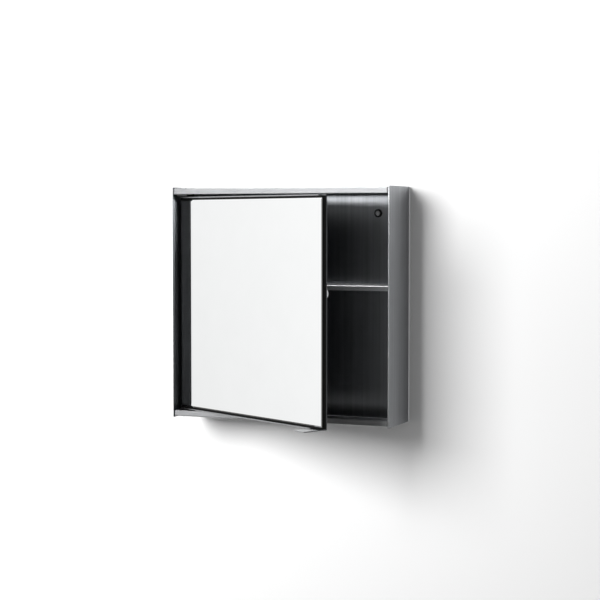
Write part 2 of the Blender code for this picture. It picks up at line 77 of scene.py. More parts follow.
# ---- Room
# A matt white painted wall, clear from behind and to anything nearer than WALL_CLEAR, so that the
# cabinet's back can be seen and lit, and a pale matt floor, which is dim in reflections and lights
# nothing. Neither belongs to the cabinet.
WALL_GAP = 0.0006
WALL_CLEAR = 0.0025
FLOOR_DROP = 1.1
ROOM_SIZE = 8
FLOOR_TONE = "E4E2DE"
FLOOR_REFLECTED = "5C5B5A"


def linear(hexadecimal):
    """An sRGB hex colour as linear red, green and blue."""
    channels = [int(hexadecimal[place:place + 2], 16) / 255 for place in (0, 2, 4)]
    return [c / 12.92 if c <= 0.04045 else ((c + 0.055) / 1.055) ** 2.4 for c in channels]


def add_node(tree, kind, settings=None, **links):
    """Adds a node. settings holds its attributes; a link gives an input a value or another's output.

    An input goes by its name, with _ for a space, or by i and its number.
    """
    node = tree.nodes.new(kind)
    for name, value in (settings or {}).items():
        setattr(node, name, value)
    for name, value in links.items():
        key = int(name[1:]) if name[0] == "i" and name[1:].isdigit() else name.replace("_", " ")
        if isinstance(value, bpy.types.NodeSocket):
            tree.links.new(value, node.inputs[key])
        else:
            node.inputs[key].default_value = value
    return node


def new_material(name, colour, metallic, roughness):
    """A material with one Principled shader; returns it, its tree and its shader."""
    material = bpy.data.materials.new(name)
    material.use_nodes = True
    shader = material.node_tree.nodes["Principled BSDF"]
    shader.inputs["Base Color"].default_value = (*linear(colour), 1)
    shader.inputs["Metallic"].default_value = metallic
    shader.inputs["Roughness"].default_value = roughness
    return material, material.node_tree, shader


floor_height = cad_low.z - FLOOR_DROP
bpy.ops.object.select_all(action="DESELECT")
bpy.ops.mesh.primitive_plane_add(
    size=ROOM_SIZE, location=(0, cad_high.y + WALL_GAP, floor_height + ROOM_SIZE / 2),
    rotation=(math.radians(90), 0, 0))
wall = bpy.context.object
wall.name = "wall"
wall_paint, tree, shader = new_material("matt_white_wall_paint", "F4F4F4", 0, 0.9)
side_seen = add_node(tree, "ShaderNodeNewGeometry")
path = add_node(tree, "ShaderNodeLightPath")
close_by = add_node(tree, "ShaderNodeMath", {"operation": "LESS_THAN"},
                    i0=path.outputs["Ray Length"], i1=WALL_CLEAR)
see_through = add_node(tree, "ShaderNodeMath", {"operation": "MAXIMUM"},
                       i0=side_seen.outputs["Backfacing"], i1=close_by.outputs[0])
clear = add_node(tree, "ShaderNodeBsdfTransparent")
one_way = add_node(tree, "ShaderNodeMixShader", None,
                   i0=see_through.outputs[0], i1=shader.outputs[0], i2=clear.outputs[0])
tree.links.new(one_way.outputs[0], tree.nodes["Material Output"].inputs["Surface"])
wall.data.materials.append(wall_paint)
wall.visible_shadow = False

bpy.ops.object.select_all(action="DESELECT")
bpy.ops.mesh.primitive_plane_add(
    size=ROOM_SIZE, location=(0, cad_high.y + WALL_GAP - ROOM_SIZE / 2, floor_height))
floor = bpy.context.object
floor.name = "floor"
floor_paint, tree, shader = new_material("matt_pale_floor", FLOOR_TONE, 0, 0.9)
path = add_node(tree, "ShaderNodeLightPath")
seen_as = add_node(tree, "ShaderNodeMix", {"data_type": "RGBA"}, i0=path.outputs["Is Glossy Ray"],
                   i6=(*linear(FLOOR_TONE), 1), i7=(*linear(FLOOR_REFLECTED), 1))
tree.links.new(seen_as.outputs[2], shader.inputs["Base Color"])
floor.data.materials.append(floor_paint)
floor.visible_diffuse = False

# ---- Light
# One large soft box to the upper left in front, whose foot reaches in under the top edge; metal sees
# only that foot of it and a fainter sheen above, and alone sees a strip higher up. A weak panel in
# front and a lamp behind fill in. The room is dim but for the far left, where the open mirror looks.
KEY_X, KEY_Y = -1.1, -2.5
KEY_WIDTH = 1.6
KEY_FOOT = (0.24, 0.385, 13)
KEY_BODY = (0.385, 1.60, 107)
KEY_SHEEN = (0.385, 0.95, 14)
STRIP_PLACE = (-0.45, -1.2, 1.65)
REAR_PLACE = (-1.5, 2.6, 0.9)
# The room's strength as metal sees it, as matt surfaces do, and as it shows behind the wall.
ROOM_DIM = 0.02
ROOM_FILL = 0.12
ROOM_PALE = 0.8
ROOM_RIGHT = 0.3
ROOM_BEHIND = 0.6
# Where each side of the room starts to shine and is at its full strength, as a direction's X or Y.
LEFT_START, LEFT_FULL = -0.72, -0.88
RIGHT_START, RIGHT_FULL = 0.6, 0.95
BEHIND_START, BEHIND_FULL = 0.1, 0.8
# The left side's strength, and how much of it a direction's Y and Z add.
LEFT_LEVEL, LEFT_FORWARD, LEFT_UPWARD = 0.85, -0.84, 0.39


def soft_box(name, width, height, power, place, aim=(0, 1, 0)):
    """A rectangular light of power watts that stands at place and shines along aim."""
    data = bpy.data.lights.new(name, "AREA")
    data.shape = "RECTANGLE"
    data.size, data.size_y = width, height
    data.energy = power
    light = bpy.data.objects.new(name, data)
    light.location = place
    light.rotation_euler = Vector(aim).to_track_quat("-Z", "Y").to_euler()
    bpy.context.scene.collection.objects.link(light)
    return light


bpy.context.scene.view_settings.view_transform = "Standard"
for name, (foot, head, power), on_metal, on_matt in (
    ("key_foot", KEY_FOOT, True, True),
    ("key_body", KEY_BODY, False, True),
    ("key_sheen", KEY_SHEEN, True, False),
):
    key = soft_box(name, KEY_WIDTH, head - foot, power, (KEY_X, KEY_Y, (foot + head) / 2))
    key.visible_glossy, key.visible_diffuse = on_metal, on_matt
strip = soft_box("upper_strip", 0.9, 0.5, 14, STRIP_PLACE, -Vector(STRIP_PLACE))
strip.visible_diffuse = False
soft_box("front_panel", 1.3, 1.6, 6, (0.3, -2.7, 0.2))
soft_box("rear", 2.0, 2.0, 60, REAR_PLACE, -Vector(REAR_PLACE))

world = bpy.data.worlds.new("studio")
bpy.context.scene.world = world
world.use_nodes = True
tree = world.node_tree
way = add_node(tree, "ShaderNodeTexCoord")
parts = add_node(tree, "ShaderNodeSeparateXYZ", None, Vector=way.outputs["Generated"])
near_left = add_node(tree, "ShaderNodeMapRange", {"interpolation_type": "SMOOTHSTEP"},
                     Value=parts.outputs["X"], From_Min=LEFT_FULL, From_Max=LEFT_START,
                     To_Min=1.0, To_Max=0.0)
forward = add_node(tree, "ShaderNodeMath", {"operation": "MULTIPLY_ADD"},
                   i0=parts.outputs["Y"], i1=LEFT_FORWARD, i2=LEFT_LEVEL)
upward = add_node(tree, "ShaderNodeMath", {"operation": "MULTIPLY_ADD"},
                  i0=parts.outputs["Z"], i1=LEFT_UPWARD, i2=forward.outputs[0])
path = add_node(tree, "ShaderNodeLightPath")
dim = add_node(tree, "ShaderNodeMix", {"data_type": "FLOAT"},
               i0=path.outputs["Is Diffuse Ray"], i2=ROOM_DIM, i3=ROOM_FILL)
left = add_node(tree, "ShaderNodeMix", {"data_type": "FLOAT"},
                i0=near_left.outputs[0], i2=dim.outputs[0], i3=upward.outputs[0])
near_right = add_node(tree, "ShaderNodeMapRange", {"interpolation_type": "SMOOTHSTEP"},
                      Value=parts.outputs["X"], From_Min=RIGHT_START, From_Max=RIGHT_FULL,
                      To_Max=ROOM_RIGHT)
behind = add_node(tree, "ShaderNodeMapRange", {"interpolation_type": "SMOOTHSTEP"},
                  Value=parts.outputs["Y"], From_Min=BEHIND_START, From_Max=BEHIND_FULL,
                  To_Max=ROOM_BEHIND)
sides = add_node(tree, "ShaderNodeMath", {"operation": "ADD"},
                 i0=left.outputs[0], i1=near_right.outputs[0])
whole = add_node(tree, "ShaderNodeMath", {"operation": "ADD"},
                 i0=sides.outputs[0], i1=behind.outputs[0])
shown = add_node(tree, "ShaderNodeMix", {"data_type": "FLOAT"},
                 i0=path.outputs["Is Camera Ray"], i2=whole.outputs[0], i3=ROOM_PALE)
tree.links.new(shown.outputs[0], tree.nodes["Background"].inputs["Strength"])
tree.nodes["Background"].inputs["Color"].default_value = (1, 1, 1, 1)

# ---- Sides
# Two stainless steel plates, brushed along their height. The hinge side's front edge is folded
# inwards over a soft bend. Rivets hold the level sheets and stop under the plates' outer faces.
SIDE_THICKNESS = 0.0028
RETURN_SHEET = 0.0015
RETURN_RELIEF = 0.009
LIP_HEIGHT = 0.010
END_INSET = 0.002
BEND_RADIUS = 0.0024
FREE_EDGE_ROUNDING = 0.0006
EDGE_ROUNDING = 0.0003
TOUCH = 1e-5
RIVET_HOLE = 0.0023
RIVET_DEPTH = 0.0025
ROWS = ("top", "shelf", "bottom")
PLACES = ("front", "rear")
LINE_SPACING, LINE_LENGTH = 0.0008, 0.12
STREAK_SPACING, STREAK_LENGTH = 0.005, 0.5
CLOUD_SIZE = 0.06
# The grain leans a hair, so that no flat face points straight along it.
UPRIGHT_GRAIN = (0, 0.05, 1)


def block(name, low, high):
    """A box between two corners, with its place in its mesh."""
    low, high = Vector(low), Vector(high)
    bpy.ops.object.select_all(action="DESELECT")
    bpy.ops.mesh.primitive_cube_add(size=1, location=(low + high) / 2, scale=high - low)
    bpy.ops.object.transform_apply(location=True, rotation=True, scale=True)
    piece = bpy.context.object
    piece.name = name
    return piece


def pick(piece, kind, wanted):
    """Opens the piece for editing with the faces or edges selected that wanted says yes to.

    A face is given to it by its middle and its normal, an edge by its middle and its direction.
    """
    bpy.ops.object.select_all(action="DESELECT")
    piece.select_set(True)
    bpy.context.view_layer.objects.active = piece
    bpy.ops.object.mode_set(mode="EDIT")
    bpy.ops.mesh.select_mode(type=kind)
    bpy.ops.mesh.select_all(action="DESELECT")
    bpy.ops.object.mode_set(mode="OBJECT")
    if kind == "FACE":
        for face in piece.data.polygons:
            face.select = bool(wanted(face.center, face.normal))
    else:
        for edge in piece.data.edges:
            first, second = (piece.data.vertices[index].co for index in edge.vertices)
            edge.select = bool(wanted((first + second) / 2, (second - first).normalized()))
    bpy.ops.object.mode_set(mode="EDIT")


def split(piece, place, normal):
    """Draws a line round the piece where a plane meets it."""
    pick(piece, "FACE", lambda middle, direction: True)
    bpy.ops.mesh.bisect(plane_co=place, plane_no=normal)
    bpy.ops.object.mode_set(mode="OBJECT")


def pull(piece, wanted, move):
    """Extrudes the faces that wanted says yes to, then takes the drawn lines off the flat faces."""
    pick(piece, "FACE", wanted)
    bpy.ops.mesh.extrude_region_move(TRANSFORM_OT_translate={"value": move})
    bpy.ops.mesh.select_all(action="SELECT")
    bpy.ops.mesh.dissolve_limited(angle_limit=math.radians(1))
    bpy.ops.object.mode_set(mode="OBJECT")


def bend(piece, wanted, radius, segments=6):
    """Rounds the edges that wanted says yes to."""
    pick(piece, "EDGE", wanted)
    bpy.ops.mesh.bevel(offset=radius, segments=segments, affect="EDGES")
    bpy.ops.object.mode_set(mode="OBJECT")


def apply_modifier(piece, kind, **settings):
    """Adds a modifier to the piece and applies it."""
    modifier = piece.modifiers.new(kind.lower(), kind)
    for name, value in settings.items():
        setattr(modifier, name, value)
    bpy.context.view_layer.objects.active = piece
    bpy.ops.object.modifier_apply(modifier=modifier.name)


def soften(piece, width=EDGE_ROUNDING, segments=2):
    """Takes the sharpness off the cut edges and leaves the soft bends alone."""
    apply_modifier(piece, "BEVEL", width=width, segments=segments, limit_method="ANGLE",
                   angle_limit=math.radians(50))


def drill(piece, places, direction, radius, length, vertices=32):
    """Cuts a round hole at each place, as long as length with its middle there."""
    turn = Vector((0, 0, 1)).rotation_difference(Vector(direction)).to_euler()
    for place in places:
        bpy.ops.object.select_all(action="DESELECT")
        bpy.ops.mesh.primitive_cylinder_add(
            vertices=vertices, radius=radius, depth=length, location=place, rotation=turn)
        drill_bit = bpy.context.object
        apply_modifier(piece, "BOOLEAN", operation="DIFFERENCE", solver="EXACT", object=drill_bit)
        bpy.data.objects.remove(drill_bit, do_unlink=True)


def middle_of(node):
    """The middle of a CAD node's box."""
    low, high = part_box(node)
    return (Vector(low) + Vector(high)) / 2


def rivet_places(side, across, rows=ROWS):
    """Where the rivets of one side go through the plane X = across."""
    middles = [middle_of(f"rivet_{side}_{row}_{place}") for row in rows for place in PLACES]
    return [(across, m.y, m.z) for m in middles]


def hand_over(piece, material, node, body, smooth_angle=35):
    """Smooths the piece's bends, keeps its flats flat, and lets it stand for its CAD node."""
    bpy.ops.object.select_all(action="DESELECT")
    piece.select_set(True)
    bpy.context.view_layer.objects.active = piece
    bpy.ops.object.shade_smooth_by_angle(angle=math.radians(smooth_angle))
    apply_modifier(piece, "WEIGHTED_NORMAL", keep_sharp=True, weight=100)
    if material:
        piece.data.materials.clear()
        piece.data.materials.append(material)
    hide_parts(node)
    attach(piece, body)


def brushed_steel(name, colour, line_way, roughness=0.304, anisotropy=0.8):
    """Stainless steel brushed along line_way with an abrasive belt.

    The belt leaves long fine grooves, drawn about 0.8 mm apart so that they show; they spread a
    reflection across them and keep it sharp along them. Wider streaks run the same way, and a
    handled sheet is also a little cloudy.
    """
    material, tree, shader = new_material(name, colour, 1, roughness)
    place = add_node(tree, "ShaderNodeTexCoord")
    fine = [1 / (LINE_LENGTH if abs(part) > 0.5 else LINE_SPACING) for part in line_way]
    fine_mapped = add_node(tree, "ShaderNodeMapping", None, Vector=place.outputs["Object"], Scale=fine)
    lines = add_node(tree, "ShaderNodeTexNoise", None,
                     Vector=fine_mapped.outputs[0], Scale=1.0, Detail=4.0, Roughness=0.65)
    wide = [1 / (STREAK_LENGTH if abs(part) > 0.5 else STREAK_SPACING) for part in line_way]
    wide_mapped = add_node(tree, "ShaderNodeMapping", None, Vector=place.outputs["Object"], Scale=wide)
    streaks = add_node(tree, "ShaderNodeTexNoise", None,
                       Vector=wide_mapped.outputs[0], Scale=1.0, Detail=2.0)
    both = add_node(tree, "ShaderNodeMath", {"operation": "ADD"}, i0=lines.outputs[0], i1=streaks.outputs[0])
    clouds = add_node(tree, "ShaderNodeTexNoise", None,
                      Vector=place.outputs["Object"], Scale=1 / CLOUD_SIZE, Detail=2.0)
    marks = add_node(tree, "ShaderNodeMix", {"data_type": "FLOAT"},
                     i0=0.35, i2=lines.outputs[0], i3=clouds.outputs[0])
    gloss = add_node(tree, "ShaderNodeMapRange", None, Value=marks.outputs[0], From_Min=0.35,
                     From_Max=0.65, To_Min=roughness - 0.03, To_Max=roughness + 0.04)
    tree.links.new(gloss.outputs[0], shader.inputs["Roughness"])
    metal = linear(colour)
    share = add_node(tree, "ShaderNodeMapRange", None, Value=both.outputs[0], From_Min=0.7, From_Max=1.3)
    tone = add_node(tree, "ShaderNodeMix", {"data_type": "RGBA"}, i0=share.outputs[0],
                    i6=(*[part * 0.85 for part in metal], 1), i7=(*[part * 1.15 for part in metal], 1))
    tree.links.new(tone.outputs[2], shader.inputs["Base Color"])
    grooves = add_node(tree, "ShaderNodeBump", None, Strength=0.12, Distance=0.0001, Height=lines.outputs[0])
    tree.links.new(grooves.outputs[0], shader.inputs["Normal"])
    shader.inputs["Anisotropic"].default_value = anisotropy
    surface = add_node(tree, "ShaderNodeNewGeometry")
    spread = add_node(tree, "ShaderNodeVectorMath", {"operation": "CROSS_PRODUCT"},
                      i0=surface.outputs["Normal"], i1=line_way)
    tree.links.new(spread.outputs[0], shader.inputs["Tangent"])
    return material


def mottled(name, colour, metallic, roughness, size, detail, tones=None, gloss=None, relief=None):
    """A material with one pattern, whose marks are about size across; returns it and its shader.

    tones are the two colours it runs between, gloss its lowest and highest roughness, and relief
    how strongly and how deep it dents the surface.
    """
    material, tree, shader = new_material(name, colour, metallic, roughness)
    place = add_node(tree, "ShaderNodeTexCoord")
    marks = add_node(tree, "ShaderNodeTexNoise", None,
                     Vector=place.outputs["Object"], Scale=1 / size, Detail=detail)
    if tones:
        tone = add_node(tree, "ShaderNodeMix", {"data_type": "RGBA"}, i0=marks.outputs[0],
                        i6=(*linear(tones[0]), 1), i7=(*linear(tones[1]), 1))
        tree.links.new(tone.outputs[2], shader.inputs["Base Color"])
    if gloss:
        shine = add_node(tree, "ShaderNodeMapRange", None, Value=marks.outputs[0],
                         From_Min=0.3, From_Max=0.7, To_Min=gloss[0], To_Max=gloss[1])
        tree.links.new(shine.outputs[0], shader.inputs["Roughness"])
    if relief:
        dents = add_node(tree, "ShaderNodeBump", None,
                         Strength=relief[0], Distance=relief[1], Height=marks.outputs[0])
        tree.links.new(dents.outputs[0], shader.inputs["Normal"])
    return material, shader


# The sheets are one steel in three tones set by how light falls: the hinge side and the door's back
# are darker than the back panel, as painted shade, and the free side is lighter, as painted light.
upright_steel = brushed_steel("brushed_stainless_upright", "848689", UPRIGHT_GRAIN)
painted_shade_steel = brushed_steel("brushed_stainless_painted_shade", "6A6C6F", UPRIGHT_GRAIN)
painted_light_steel = brushed_steel("brushed_stainless_painted_light", "9A9C9F", UPRIGHT_GRAIN)
# The free side's cut edges are only deburred: an even, rougher grey with specks a millimetre or two
# across, painted much lighter than the plates as a painted highlight along the front edge.
edge_steel_painted_highlight, shader = mottled(
    "deburred_stainless_edge_painted_highlight", "D0D1D3", 1, 0.36, 0.0015, 3.0, ("C6C7CA", "DADBDC"), (0.32, 0.4))

low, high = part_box("left_side")
inner = low[0] + SIDE_THICKNESS
fold_end = high[2] - END_INSET - LIP_HEIGHT - RETURN_RELIEF
left_side = block("left_side_plate", low, (inner, high[1], high[2]))
split(left_side, (0, 0, fold_end), (0, 0, 1))
split(left_side, (0, 0, -fold_end), (0, 0, 1))
split(left_side, (0, low[1] + RETURN_SHEET, 0), (0, 1, 0))
pull(left_side,
     lambda m, n: n.x > 0.9 and m.y < low[1] + RETURN_SHEET and abs(m.z) < fold_end,
     (high[0] - inner, 0, 0))
bend(left_side, lambda m, d: m.x < low[0] + TOUCH and m.y < low[1] + TOUCH and abs(d.z) > 0.9, BEND_RADIUS)
soften(left_side)
drill(left_side, rivet_places("left", inner), (1, 0, 0), RIVET_HOLE, 2 * RIVET_DEPTH)
# The hinge side takes the darker tone: painted shade.
hand_over(left_side, painted_shade_steel, "left_side", "cabinet")

low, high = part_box("right_side")
right_side = block("right_side_plate", low, high)
bend(right_side, lambda m, d: m.y < low[1] + TOUCH and abs(d.z) > 0.9, FREE_EDGE_ROUNDING, 4)
soften(right_side)
drill(right_side, rivet_places("right", low[0]), (1, 0, 0), RIVET_HOLE, 2 * RIVET_DEPTH)
# The plate's faces take the lighter tone, painted light, and its cut edges the light edge grey, a painted
# highlight.
right_side.data.materials.append(painted_light_steel)
right_side.data.materials.append(edge_steel_painted_highlight)
for face in right_side.data.polygons:
    face.material_index = 0 if abs(face.normal.x) > 0.5 else 1
hand_over(right_side, None, "right_side", "cabinet")

# ---- Top, bottom and shelf
# Three sheets of the same steel, brushed along their width. Each has its front edge and both ends
# folded at a right angle over a small radius, and is riveted to the sides through its ends.
SHEET = 0.0015
FOLD_RADIUS = 0.0019
FOLD_HOLE_LENGTH = 0.008
BLOCK_SCREW_HOLE = 0.0018
LEVEL_GRAIN = (1, 0, 0.05)


def folded_sheet(name, low, high, open_way):
    """A tray whose front edge and ends stand towards open_way, 1 up or -1 down; it has no rear edge."""
    tray = block(name, low, high)
    skin = low[2] if open_way > 0 else high[2]
    pick(tray, "FACE", lambda m, n: n.z * open_way > 0.9 or n.y > 0.9)
    bpy.ops.mesh.delete(type="FACE")
    bpy.ops.object.mode_set(mode="OBJECT")
    bend(tray,
         lambda m, d: (abs(m.z - skin) < TOUCH and m.y < high[1] - TOUCH)
         or (m.y < low[1] + TOUCH and abs(d.z) > 0.9),
         FOLD_RADIUS, 5)
    apply_modifier(tray, "SOLIDIFY", thickness=SHEET, offset=-1, use_even_offset=True,
                   use_quality_normals=True)
    soften(tray, 0.00025)
    return tray


# The level sheets are painted much lighter than the upright ones, and the shelf lighter still: painted light
# for the light their front folds catch.
painted_light_level_steel = brushed_steel("brushed_stainless_level_painted_light", "C6C7C9", LEVEL_GRAIN, 0.42, 0.9)
painted_light_shelf_steel = brushed_steel("brushed_stainless_shelf_painted_light", "CCCDCE", LEVEL_GRAIN, 0.30, 0.75)
for node, name, row, open_way, steel in (
    ("top_panel", "top_sheet", "top", -1, painted_light_level_steel),
    ("bottom_panel", "bottom_sheet", "bottom", 1, painted_light_level_steel),
    ("shelf", "shelf_sheet", "shelf", -1, painted_light_shelf_steel),
):
    low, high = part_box(node)
    tray = folded_sheet(name, low, high, open_way)
    for side, edge in (("left", low[0]), ("right", high[0])):
        drill(tray, rivet_places(side, edge, (row,)), (1, 0, 0), RIVET_HOLE, FOLD_HOLE_LENGTH)
    if row != "shelf":
        level = "upper" if row == "top" else "lower"
        skin = high[2] if row == "top" else low[2]
        middles = [middle_of(f"block_screw_{level}_{place}") for place in PLACES]
        drill(tray, [(m.x, m.y, skin) for m in middles], (0, 0, 1), BLOCK_SCREW_HOLE, FOLD_HOLE_LENGTH)
    hand_over(tray, steel, node, "cabinet")

# ---- Back panel
# A flat sheet of the same steel, brushed along its height, with a hole for each wall screw.
WALL_SCREW_HOLE = 0.0024
SHEET_HOLE_LENGTH = 0.006

low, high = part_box("back_panel")
back = block("back_sheet", low, high)
soften(back)
middles = [middle_of("wall_screw_left"), middle_of("wall_screw_right")]
drill(back, [(m.x, (low[1] + high[1]) / 2, m.z) for m in middles], (0, 1, 0), WALL_SCREW_HOLE,
      SHEET_HOLE_LENGTH)
hand_over(back, upright_steel, "back_panel", "cabinet")

# ---- Rivets
# Twelve steel blind rivets with low domed heads on the inside. The drawn pin leaves a small hollow
# in the middle of each head, and the outer end stays under the side's skin.
RIVET_SHANK = 0.002
RIVET_HEAD = 0.0034
RIVET_RISE = 0.0012
RIVET_DOME = ((0.0, 1.0), (0.42, 1.0), (0.75, 0.88), (0.93, 0.62), (1.0, 0.30), (1.0, 0.0))
RIVET_START = 0.0006


def turned(name, profile, vertices=32):
    """Draws a disc out along Z into a round solid; profile gives its radii and heights, foot first."""
    bpy.ops.object.select_all(action="DESELECT")
    radius, height = profile[0]
    bpy.ops.mesh.primitive_circle_add(
        vertices=vertices, radius=radius, fill_type="NGON", location=(0, 0, height))
    bpy.ops.object.transform_apply(location=True, rotation=True, scale=True)
    piece = bpy.context.object
    piece.name = name
    bpy.ops.object.mode_set(mode="EDIT")
    bpy.ops.mesh.select_mode(type="FACE")
    bpy.ops.mesh.select_all(action="SELECT")
    for next_radius, next_height in profile[1:]:
        bpy.ops.mesh.extrude_region_move(TRANSFORM_OT_translate={"value": (0, 0, next_height - height)})
        change = next_radius / radius
        bpy.ops.transform.resize(value=(change, change, 1), center_override=(0, 0, next_height))
        radius, height = next_radius, next_height
    bpy.ops.mesh.select_all(action="SELECT")
    bpy.ops.mesh.normals_make_consistent(inside=False)
    bpy.ops.object.mode_set(mode="OBJECT")
    return piece


def aim(piece, foot, direction):
    """Puts a piece that was turned along Z at its foot, pointing in a direction."""
    turn = Vector((0, 0, 1)).rotation_difference(Vector(direction)).to_matrix().to_4x4()
    piece.data.transform(Matrix.Translation(foot) @ turn)


def copy_of(piece, name):
    """Another of the same piece, with its own mesh."""
    twin = piece.copy()
    twin.data = piece.data.copy()
    twin.name = name
    bpy.context.scene.collection.objects.link(twin)
    return twin


low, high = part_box("rivet_right_top_front")
head_foot = high[0] - low[0] - RIVET_RISE
rivet = turned("rivet_pattern", [
    (RIVET_SHANK, RIVET_START),
    (RIVET_SHANK, head_foot),
    *[(RIVET_HEAD * across, head_foot + RIVET_RISE * up) for across, up in reversed(RIVET_DOME[1:])],
    (RIVET_HEAD * 0.30, head_foot + RIVET_RISE * 0.97),
    (RIVET_HEAD * 0.27, head_foot + RIVET_RISE * 0.55),
])
for side, way in (("left", 1), ("right", -1)):
    for row in ROWS:
        for place in PLACES:
            node = f"rivet_{side}_{row}_{place}"
            low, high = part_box(node)
            outer = low[0] if side == "left" else high[0]
            one = copy_of(rivet, f"blind_{node}")
            aim(one, (outer, (low[1] + high[1]) / 2, (low[2] + high[2]) / 2), (way, 0, 0))
            hand_over(one, upright_steel, node, "cabinet")
bpy.data.objects.remove(rivet, do_unlink=True)

# ---- Wall screws
# Two zinc-plated steel screws with round heads and a hexagon socket, each on a thick black rubber
# washer that grips the back panel and takes up the unevenness of the wall.
SOCKET_RADIUS = 0.0019
SOCKET_DEPTH = 0.0024
WALL_HEAD_RISE = 0.0026
WASHER_HOLE_LENGTH = 0.01

# Bright zinc has a faint cloudy bloom and fine marks a few millimetres apart from the plating bath.
zinc_steel, shader = mottled(
    "zinc_plated_steel", "D4D6D8", 1, 0.34, 0.002, 3.0, ("C4C6C9", "E4E5E5"), (0.28, 0.42))
# Moulded rubber is dull, with a fine grain and a trace of grey bloom.
black_rubber, shader = mottled(
    "moulded_black_rubber", "0B0B0B", 0, 0.7, 0.0006, 2.0, ("080808", "161616"), relief=(0.3, 0.0001))
shader.inputs["Specular IOR Level"].default_value = 0.3

low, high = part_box("wall_washer_left")
radius, height = (high[0] - low[0]) / 2, high[1] - low[1]
washer = turned("washer_pattern", [
    (radius * 0.95, 0), (radius, height * 0.1), (radius, height * 0.62), (radius * 0.97, height * 0.82),
    (radius * 0.9, height * 0.95), (radius * 0.8, height)], 48)
drill(washer, [(0, 0, height / 2)], (0, 0, 1), WALL_SCREW_HOLE, WASHER_HOLE_LENGTH)

low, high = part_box("wall_screw_left")
radius, length = (high[0] - low[0]) / 2, high[1] - low[1]
foot = length - WALL_HEAD_RISE
bolt = turned("bolt_pattern", [
    (0.0019, 0), (0.0021, 0.0003), (0.0021, foot), (radius * 0.96, foot),
    (radius, foot + WALL_HEAD_RISE * 0.07), (radius, foot + WALL_HEAD_RISE * 0.4),
    (radius * 0.93, foot + WALL_HEAD_RISE * 0.66), (radius * 0.82, foot + WALL_HEAD_RISE * 0.82),
    (radius * 0.66, foot + WALL_HEAD_RISE * 0.95), (radius * 0.56, length)], 48)
drill(bolt, [(0, 0, length)], (0, 0, 1), SOCKET_RADIUS, 2 * SOCKET_DEPTH, 6)
soften(bolt, 0.00012)

for side in ("left", "right"):
    for pattern, name, node, material, slot in (
        (washer, "rubber_washer", "wall_washer", black_rubber, "black_rubber"),
        (bolt, "wall_bolt", "wall_screw", zinc_steel, "plain_steel"),
    ):
        low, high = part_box(f"{node}_{side}")
        one = copy_of(pattern, f"{name}_{side}")
        aim(one, ((low[0] + high[0]) / 2, high[1], (low[2] + high[2]) / 2), (0, -1, 0))
        hand_over(one, material, f"{node}_{side}", "cabinet")
bpy.data.objects.remove(washer, do_unlink=True)
bpy.data.objects.remove(bolt, do_unlink=True)

# ---- Hinges
# The door turns on a steel pin at each end of its hinge edge. Each pin sits in a black acetal block
# that two screws hold to the sheet, and runs in a collared acetal bush pressed into the door.
PIN_HOLE = 0.0023
BUSH_BORE = 0.00205
BLOCK_CHAMFER = 0.001
BLOCK_HOLE_LENGTH = 0.03
PAN_HEAD_RISE = 0.0013

# Moulded acetal has a fine spark-eroded texture, about a third of a millimetre across.
black_acetal, shader = mottled(
    "black_acetal", "131313", 0, 0.42, 0.00035, 2.0, gloss=(0.36, 0.52), relief=(0.2, 0.00005))

low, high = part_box("block_screw_upper_front")
length, radius = high[2] - low[2], (high[0] - low[0]) / 2
pan_head = turned("pan_head_pattern", [
    (0.0011, 0), (0.0015, 0.0005), (0.0015, length - PAN_HEAD_RISE), (radius, length - PAN_HEAD_RISE),
    (radius, length - 0.0007), (radius * 0.92, length - 0.00035), (radius * 0.72, length - 0.0001),
    (radius * 0.55, length), (radius * 0.5, length - 0.0007)])

hinge = next(joint for joint in frame["joints"] if joint["name"] == "door_hinge")
pivot = Vector(hinge["pos_m"])
for level, way in (("upper", 1), ("lower", -1)):
    low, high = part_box(f"hinge_block_{level}")
    mount = block(f"pivot_block_{level}", low, high)
    bend(mount, lambda m, d: abs(d.z) > 0.9, BLOCK_CHAMFER, 1)
    soften(mount, 0.0002)
    middle = (low[2] + high[2]) / 2
    drill(mount, [(pivot.x, pivot.y, middle)], (0, 0, 1), PIN_HOLE, BLOCK_HOLE_LENGTH)
    middles = [middle_of(f"block_screw_{level}_{place}") for place in PLACES]
    drill(mount, [(m.x, m.y, middle) for m in middles], (0, 0, 1), BLOCK_SCREW_HOLE, BLOCK_HOLE_LENGTH)
    hand_over(mount, black_acetal, f"hinge_block_{level}", "cabinet")

    low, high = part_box(f"hinge_pin_{level}")
    length = high[2] - low[2]
    pin = turned(f"pivot_pin_{level}", [
        (0.0014, 0), (0.0017, 0.00012), (0.0019, 0.00035), (0.002, 0.0007), (0.002, length - 0.0003),
        (0.0017, length)])
    aim(pin, (pivot.x, pivot.y, low[2] if way > 0 else high[2]), (0, 0, way))
    hand_over(pin, zinc_steel, f"hinge_pin_{level}", "cabinet")

    for place in PLACES:
        node = f"block_screw_{level}_{place}"
        low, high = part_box(node)
        screw = copy_of(pan_head, f"pan_head_{level}_{place}")
        foot = (low[0] + radius, (low[1] + high[1]) / 2, low[2] if way > 0 else high[2])
        aim(screw, foot, (0, 0, way))
        hand_over(screw, zinc_steel, node, "cabinet")
bpy.data.objects.remove(pan_head, do_unlink=True)

# ---- Door pan
# The door's back is one steel sheet, brushed along its height, with its top and bottom edges folded
# forward. The sheet is painted darker as painted shade, and the folds lighter as a painted highlight.
# The lower fold runs out into a flat rounded pull.
DOOR_WIDTH = 0.3838
DOOR_FRONT = -0.0860
PAN_BACK = -0.0755
PIVOT_INSET = 0.008
FLANGE_NOTCH = 0.009
PULL_WIDTH = 0.027
PULL_REACH = 0.035
PULL_CORNER = 0.004
BUSH_HOLE = 0.0033
DOOR_ANGLE = math.radians(28)
CATCH_HOLE = 0.0018
CATCH_PLACE = 0.010
CATCH_HEIGHT = 0.0275
OVERSHOOT = 0.002


def swing_open(piece):
    """Turns a door piece that was made closed to where the door stands."""
    turn = Matrix.Rotation(-DOOR_ANGLE, 4, "Z")
    piece.data.transform(Matrix.Translation(pivot) @ turn @ Matrix.Translation(-pivot))


